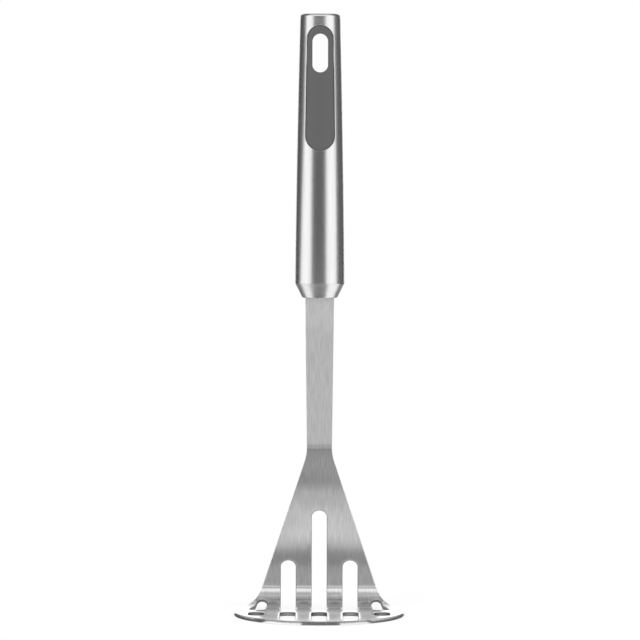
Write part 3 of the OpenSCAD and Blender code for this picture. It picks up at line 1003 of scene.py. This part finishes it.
class MASHER_OT_add_rear_ring(Operator):
    """Moulds the ring round the hanging slot's rear end, with the socket that takes the tunnel"""
    bl_idname = "masher.add_rear_ring"
    bl_label = "Rear ring"

    def execute(self, context):
        sizes = context.scene.masher_insert
        depth = -sizes.thickness
        end, socket_end = sizes.tunnel_end, RING_LOW.y
        inner = sizes.tunnel_wall + FIT
        outer = inner + sizes.socket_wall
        opening = rounded_edge(sizes.edge) + [
            (0.0, -sizes.edge, 0.0, -math.pi / 2, end),
            (inner, depth, -math.pi / 2, 0.0, end),
            (inner, depth, 0.0, -math.pi / 2, socket_end),
            (outer, depth, -math.pi / 2, math.pi, socket_end),
            (outer, depth, math.pi, -math.pi / 2, None)]
        side = rounded_side(sizes.edge, sizes.thickness)
        shell = new_shell()
        add_plate(shell, [
            rounded_rim(lambda grow: hanging_outline(grow + sizes.ring_width), side, sizes.recess,
                        is_behind=True),
            rounded_rim(hanging_outline, opening, sizes.recess, is_hole=True, is_behind=True)])
        wrap_round_handle(shell, sizes.recess, heights=(RING_LOW.z, RING_HIGH.z), turns=(-222, -138))
        finish_piece(shell, "rear_ring_plastic", (moulded_insert(),), "rear_ring")
        return {"FINISHED"}


# ---- Stage ----


# Turns, in degrees from the front towards +X, that the cards round the part sweep between
FRONT, LEFT_SIDE, RIGHT_SIDE, BOTH_SIDES = (-40.5, 29.5), (-103, -40.5), (29.5, 85.5), (-103, 85.5)
LEFT_BACK, RIGHT_BACK, BACK, NECK_FRONT = (-155, -103), (85.5, 155), (155, 205), (-60, 45)
CARD_STEP = 5  # spacing of their upright folds, in degrees

# Upright cards, which only the steel mirrors: name, turns, distance from the handle's axis, lower
# and upper edge in millimetres, radiance. The grey ones darken bands between the softboxes, and
# those at ROOM - 10 stand just in front of another card.
ROOM, NECK, CRANK, FOLD = 1200, 100, 45, 300
LOW, MIDDLE, TOP, UPPER, HIGH = 30, 470, 900, 1200, 2000
UPRIGHT_CARDS = (
    ("left_softbox", LEFT_SIDE, ROOM, 0, TOP, 1.45),
    ("right_softbox", RIGHT_SIDE, ROOM, 0, TOP, 1.45),
    ("left_card", LEFT_BACK, ROOM, 0, HIGH, 0.08),
    ("left_middle_card", (-103, -96.5), ROOM - 10, 160, 240, 0.08),
    ("left_upper_card", (-103, -88), ROOM - 10, 240, HIGH, 0.08),
    ("right_card", RIGHT_BACK, ROOM, 0, HIGH, 0.12),
    ("neck_card", NECK_FRONT, NECK, 56, 137.5, 0.71),
    ("neck_top_card", NECK_FRONT, NECK, 137.5, 145.5, 1.15),
    ("crank_card", NECK_FRONT, CRANK, 57.5, 75.5, 0.5),
    ("crank_low_card", NECK_FRONT, CRANK, 44, 57.5, 0.38),
    ("fold_softbox", FRONT, FOLD, 0, 125, 1.4),
    ("low_card", FRONT, ROOM, 0, LOW, 0.5),
    ("front_card", FRONT, ROOM, LOW, MIDDLE, 0.085),
    ("top_softbox", FRONT, ROOM, MIDDLE, TOP, 1.45),
    ("upper_softbox", BOTH_SIDES, ROOM, TOP, UPPER, 0.85),
    ("upper_card", BOTH_SIDES, ROOM, UPPER, HIGH, 0.6),
    ("rear_softbox", BACK, ROOM, 0, 1000, 1.4),
)

# Level cards in the same way: name, turns, height, inner and outer edge in millimetres, radiance.
# Those on the floor light the slots, the disc's rim and the fold from below.
FLOOR, SLOTS_END, RIM_START, RIM_END = 0.1, 38.5, 40.5, 47
NEAR_END, MIDDLE_END, FRONT_END, GROUND_END, SIDE_END = 54, 66, 90, 180, 350
LEVEL_CARDS = (
    ("ceiling_card", BOTH_SIDES, HIGH, 10, ROOM, 0.55),
    ("slot_card", (-180, 180), FLOOR, 1, SLOTS_END, 0.75),
    ("front_slot_card", (-75, 75), 2 * FLOOR, 10, SLOTS_END, 1.7),
    ("left_rim_card", (-95, -42.5), FLOOR, RIM_START, RIM_END, 0.12),
    ("front_rim_card", (-12.6, 15), FLOOR, RIM_START, RIM_END, 0.15),
    ("right_rim_card", (38, 95), FLOOR, RIM_START, RIM_END, 0.15),
    ("left_rim_softbox", (-42.5, -12.6), FLOOR, RIM_START, RIM_END, 1.65),
    ("right_rim_softbox", (15, 38), FLOOR, RIM_START, RIM_END, 1.5),
    ("near_ground_card", NECK_FRONT, FLOOR, RIM_END, NEAR_END, 0.1),
    ("middle_ground_card", NECK_FRONT, FLOOR, NEAR_END, MIDDLE_END, 0.4),
    ("front_ground_card", NECK_FRONT, FLOOR, MIDDLE_END, FRONT_END, 0.27),
    ("ground_card", (-53, 46), FLOOR, FRONT_END, GROUND_END, 0.12),
    ("fold_ground_softbox", FRONT, FLOOR, GROUND_END, FOLD, 1.2),
    ("left_ground_softbox", (-107, -53), FLOOR, FRONT_END, SIDE_END, 1.3),
    ("right_ground_softbox", (46, 112), FLOOR, FRONT_END, SIDE_END, 1.35),
    ("left_ground_card", (-155, -107), FLOOR, RIM_END, ROOM, 0.18),
    ("right_ground_card", (112, 155), FLOOR, RIM_END, ROOM, 0.2),
)

# Small glowing cards at the tines' feet, a painted reflection of the inside of the fold: lower and upper
# edge above the disc in millimetres, radiance
FOLD_REFLECTION_CARDS = ((0.1, 1.0, 0.42), (1.0, 2.0, 0.3), (2.0, 3.0, 0.43), (3.0, 4.5, 0.57))
FOLD_REFLECTION_DEPTH = 3 * MM  # their place behind the start of the fold


def add_stage_mesh(name, points, faces, material):
    """Adds a mesh that isn't part of the masher."""
    mesh = bpy.data.meshes.new(name)
    mesh.from_pydata(points, [], faces)
    mesh.materials.append(material)
    made = bpy.data.objects.new(name, mesh)
    bpy.context.scene.collection.objects.link(made)
    return made


def add_mirrored_card(name, points, faces, radiance):
    """Adds a card that shapes what the steel mirrors and stays out of sight."""
    card = add_stage_mesh(name, points, faces, glowing_card(name, radiance))
    card.visible_camera = False
    card.visible_diffuse = False
    card.visible_shadow = False
    card.visible_transmission = False


def add_card(name, turns, first, second, radiance):
    """Card that sweeps a line, from one (distance, height) to another, round the handle's axis."""
    left, right = turns
    steps = max(2, round((right - left) / CARD_STEP))
    points, faces = [], []
    for i in range(steps + 1):
        a = math.radians(left + (right - left) * i / steps)
        points += [(distance * MM * math.sin(a), -distance * MM * math.cos(a), height * MM)
                   for distance, height in (first, second)]
        if i:
            faces.append((2 * i - 2, 2 * i, 2 * i + 1, 2 * i - 1))
    add_mirrored_card(name, points, faces, radiance)


def add_fold_reflection_card(name, low, high, radiance):
    """Small upright cards, one at the foot of each of the four tines, where the fold mirrors itself: they
    glow grey as a painted reflection of the fold's inside.
    """
    sizes = bpy.context.scene.masher_head
    half = (sizes.slot_pitch - sizes.slot_width) / 2
    back = FoldedSheet(sizes).fold_start + FOLD_REFLECTION_DEPTH
    points, faces = [], []
    for number in (-1.5, -0.5, 0.5, 1.5):
        middle = number * sizes.slot_pitch
        first = len(points)
        points += [(middle + side * half, back, sizes.sheet + height * MM) for height in (low, high)
                   for side in (-1, 1)]
        faces.append((first, first + 1, first + 3, first + 2))
    add_mirrored_card(name, points, faces, radiance)


def add_lamp(name, spot, aim, size, power):
    """Square lamp that the steel doesn't mirror; lengths are in metres and the power in watts."""
    lamp = bpy.data.lights.new(name, "AREA")
    lamp.shape = "SQUARE"
    lamp.size = size
    lamp.energy = power
    made = bpy.data.objects.new(name, lamp)
    made.location = spot
    made.rotation_euler = (Vector(aim) - Vector(spot)).to_track_quat("-Z", "Y").to_euler()
    made.visible_camera = False
    made.visible_glossy = False
    bpy.context.scene.collection.objects.link(made)


def light_world(scene):
    """White for the eye and for mirrors, and duller as a light on matt surfaces."""
    world = scene.world or bpy.data.worlds.new("World")
    scene.world = world
    world.use_nodes = True
    world.node_tree.nodes.clear()
    mask = seen_directly(world)
    level = add_node(world, "ShaderNodeMix", {"Factor": mask.outputs["Value"], "A": 0.6, "B": 1.0},
                     data_type="FLOAT")
    sky = add_node(world, "ShaderNodeBackground",
                   {"Color": (1, 1, 1, 1), "Strength": level.outputs["Result"]})
    add_node(world, "ShaderNodeOutputWorld", {"Surface": sky.outputs["Background"]})


def place_camera(scene):
    """Looks at the masher from the front and from slightly above, as from across a table."""
    sizes = scene.masher_stage
    camera = bpy.data.cameras.new("camera")
    camera.lens = sizes.focal / MM
    camera.sensor_width = 36.0
    camera.clip_start = 0.01
    view = bpy.data.objects.new("camera", camera)
    view.location = (0.0, -sizes.camera_distance, sizes.camera_height)
    view.rotation_euler = (math.pi / 2 - sizes.pitch, -sizes.roll, 0.0)
    scene.collection.objects.link(view)
    scene.camera = view


class MASHER_OT_add_stage(Operator):
    """Sets up the pale floor, the lamps, the cards that the steel mirrors, and the camera"""
    bl_idname = "masher.add_stage"
    bl_label = "Stage"

    def execute(self, context):
        half = context.scene.masher_stage.floor / 2
        add_stage_mesh("floor", [(-half, -half, 0), (half, -half, 0), (half, half, 0), (-half, half, 0)],
                       [(0, 1, 2, 3)], painted_floor())
        for name, turns, distance, low, high, radiance in UPRIGHT_CARDS:
            add_card(name, turns, (distance, low), (distance, high), radiance)
        # Grey glowing cards in the fold: a painted reflection of the fold's inside in the tines' feet
        for number, (low, high, radiance) in enumerate(FOLD_REFLECTION_CARDS, 1):
            add_fold_reflection_card(f"fold_reflection_card_{number}", low, high, radiance)
        for name, turns, height, near, far, radiance in LEVEL_CARDS:
            add_card(name, turns, (far, height), (near, height), radiance)
        add_lamp("top_lamp", spot=(0, 0.2, 1.5), aim=(0, 0, 0), size=1.5, power=8.0)
        add_lamp("left_lamp", spot=(-0.9, -1.0, 1.1), aim=(0, 0, 0.15), size=0.9, power=6.0)
        add_lamp("right_lamp", spot=(1.0, -0.9, 0.9), aim=(0, 0, 0.15), size=0.9, power=4.5)
        light_world(context.scene)
        place_camera(context.scene)
        context.scene.view_settings.view_transform = "Standard"
        return {"FINISHED"}


class MASHER_PT_panel(Panel):
    """Lists what builds the masher, with the sizes and finishes that it uses"""
    bl_idname = "MASHER_PT_panel"
    bl_label = "Potato Masher"
    bl_space_type = "VIEW_3D"
    bl_region_type = "UI"
    bl_category = "Masher"

    def draw(self, context):
        for title, group, operators in PANEL_ROWS:
            box = self.layout.box()
            box.label(text=title)
            settings = getattr(context.scene, group)
            for name in settings.bl_rna.properties.keys():
                if name not in ("rna_type", "name"):
                    box.prop(settings, name)
            for operator in operators:
                box.operator(operator.bl_idname)


# Title, property group and operators of each box of the panel
PANEL_ROWS = (
    ("Finishes", "masher_finishes", ()),
    ("Head", "masher_head", (MASHER_OT_add_head,)),
    ("Handle", "masher_handle", (MASHER_OT_add_tube, MASHER_OT_add_cap, MASHER_OT_add_cone)),
    ("Insert", "masher_insert", (MASHER_OT_add_insert, MASHER_OT_add_rear_ring)),
    ("Stage", "masher_stage", (MASHER_OT_add_stage,)),
)
GROUPS = {"masher_head": HeadSizes, "masher_handle": HandleSizes, "masher_insert": InsertSizes,
          "masher_finishes": Finishes, "masher_stage": StageSizes}
CLASSES = (*GROUPS.values(), *(operator for row in PANEL_ROWS for operator in row[2]), MASHER_PT_panel)


def register():
    for made in CLASSES:
        bpy.utils.register_class(made)
    for name, group in GROUPS.items():
        setattr(bpy.types.Scene, name, PointerProperty(type=group))


def unregister():
    for name in GROUPS:
        delattr(bpy.types.Scene, name)
    for made in reversed(CLASSES):
        bpy.utils.unregister_class(made)


def main():
    register()
    bpy.ops.masher.add_head()
    bpy.ops.masher.add_tube()
    bpy.ops.masher.add_cap()
    bpy.ops.masher.add_cone()
    bpy.ops.masher.add_insert()
    bpy.ops.masher.add_rear_ring()
    bpy.ops.masher.add_stage()


if __name__ == "__main__":
    main()
